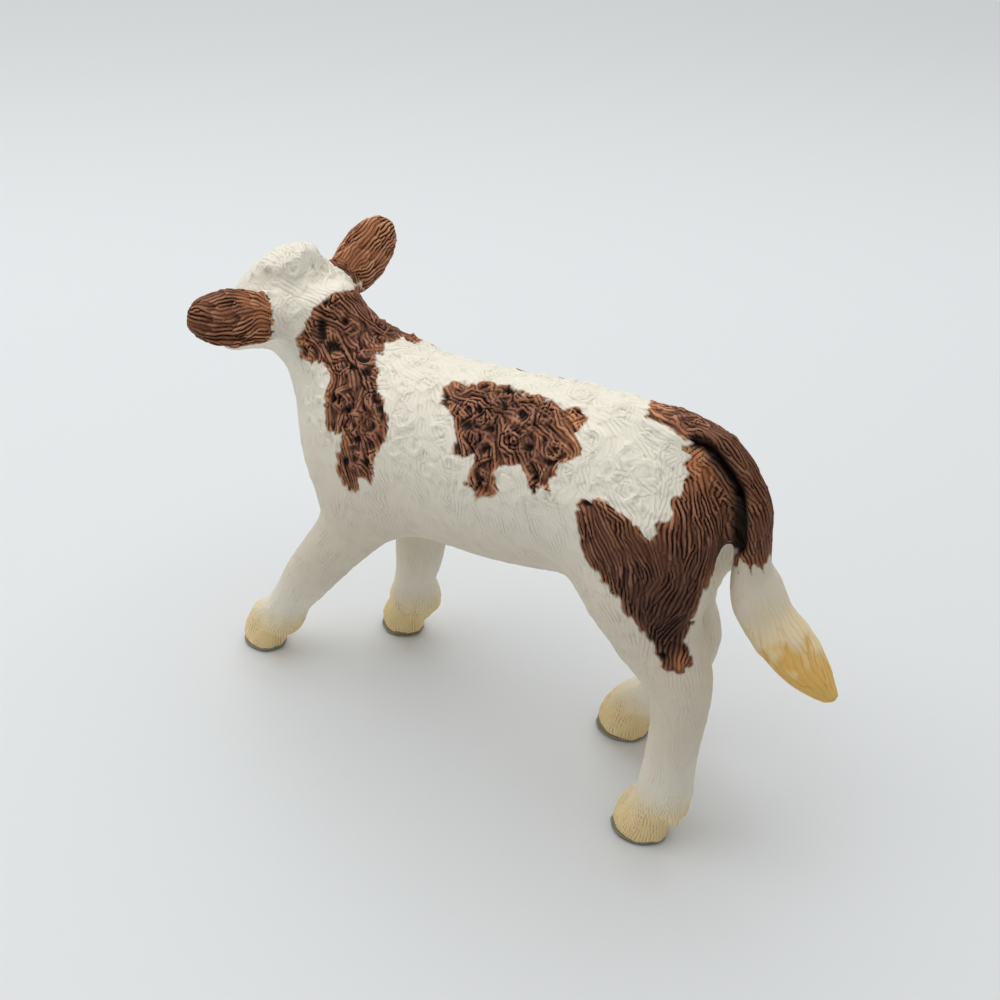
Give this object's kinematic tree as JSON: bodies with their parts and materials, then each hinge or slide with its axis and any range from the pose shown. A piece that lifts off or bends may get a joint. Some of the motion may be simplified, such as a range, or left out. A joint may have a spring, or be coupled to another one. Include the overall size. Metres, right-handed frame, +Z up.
{
  "type": "toy farm animal figure",
  "caption": "Moulded toy calf in walking pose, with combed fur relief, spread ears, cloven hooves and a tail hanging clear of the rump",
  "frame": {"origin": "On the ground, under the middle of the figure's bounding box", "axes": "+X is the calf's left, -Y is the way it faces, +Z is up"},
  "size_m": [0.03, 0.0806, 0.0503],
  "materials": {
    "coat": "matte, hand-painted white coat with brown patches, combed fur relief",
    "ear": "matte, painted brown, fine fur relief",
    "tail": "matte, painted brown with a cream and yellow-ochre tuft, combed fur relief"
  },
  "bodies": {
    "root": {"torso": "coat", "head": "coat", "left_ear": "ear", "right_ear": "ear", "front_left_leg": "coat", "front_right_leg": "coat", "hind_left_leg": "coat", "hind_right_leg": "coat", "tail": "tail"}
  },
  "joints": []
}
